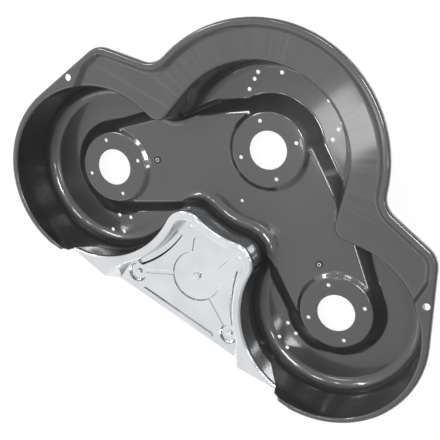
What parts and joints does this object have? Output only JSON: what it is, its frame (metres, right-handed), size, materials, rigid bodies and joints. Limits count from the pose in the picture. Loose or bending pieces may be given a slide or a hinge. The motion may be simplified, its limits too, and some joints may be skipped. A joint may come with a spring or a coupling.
{
  "type": "lawn mower deck",
  "caption": "Pressed steel mower deck with round blade chambers, spindle pads on a raised island, a flanged rim with ears and a zinc plate bolted across the rear opening.",
  "frame": {"origin": "centre of the overall box at its lowest face, where the chamber tops rest with the deck lying upside down", "axes": "+X across the deck, +Y to its front chamber, +Z out of the mouth"},
  "size_m": [1.1038, 0.776, 0.141],
  "materials": {
    "black_paint": "semi-gloss black paint",
    "zinc_plate": "bright zinc plated sheet",
    "zinc_fasteners": "zinc plated"
  },
  "bodies": {
    "root": {"deck_shell": "black_paint", "rear_plate": "zinc_plate", "rivet_nuts": "zinc_fasteners", "plate_bolts": "zinc_fasteners", "centre_bolt": "zinc_fasteners"}
  },
  "joints": []
}
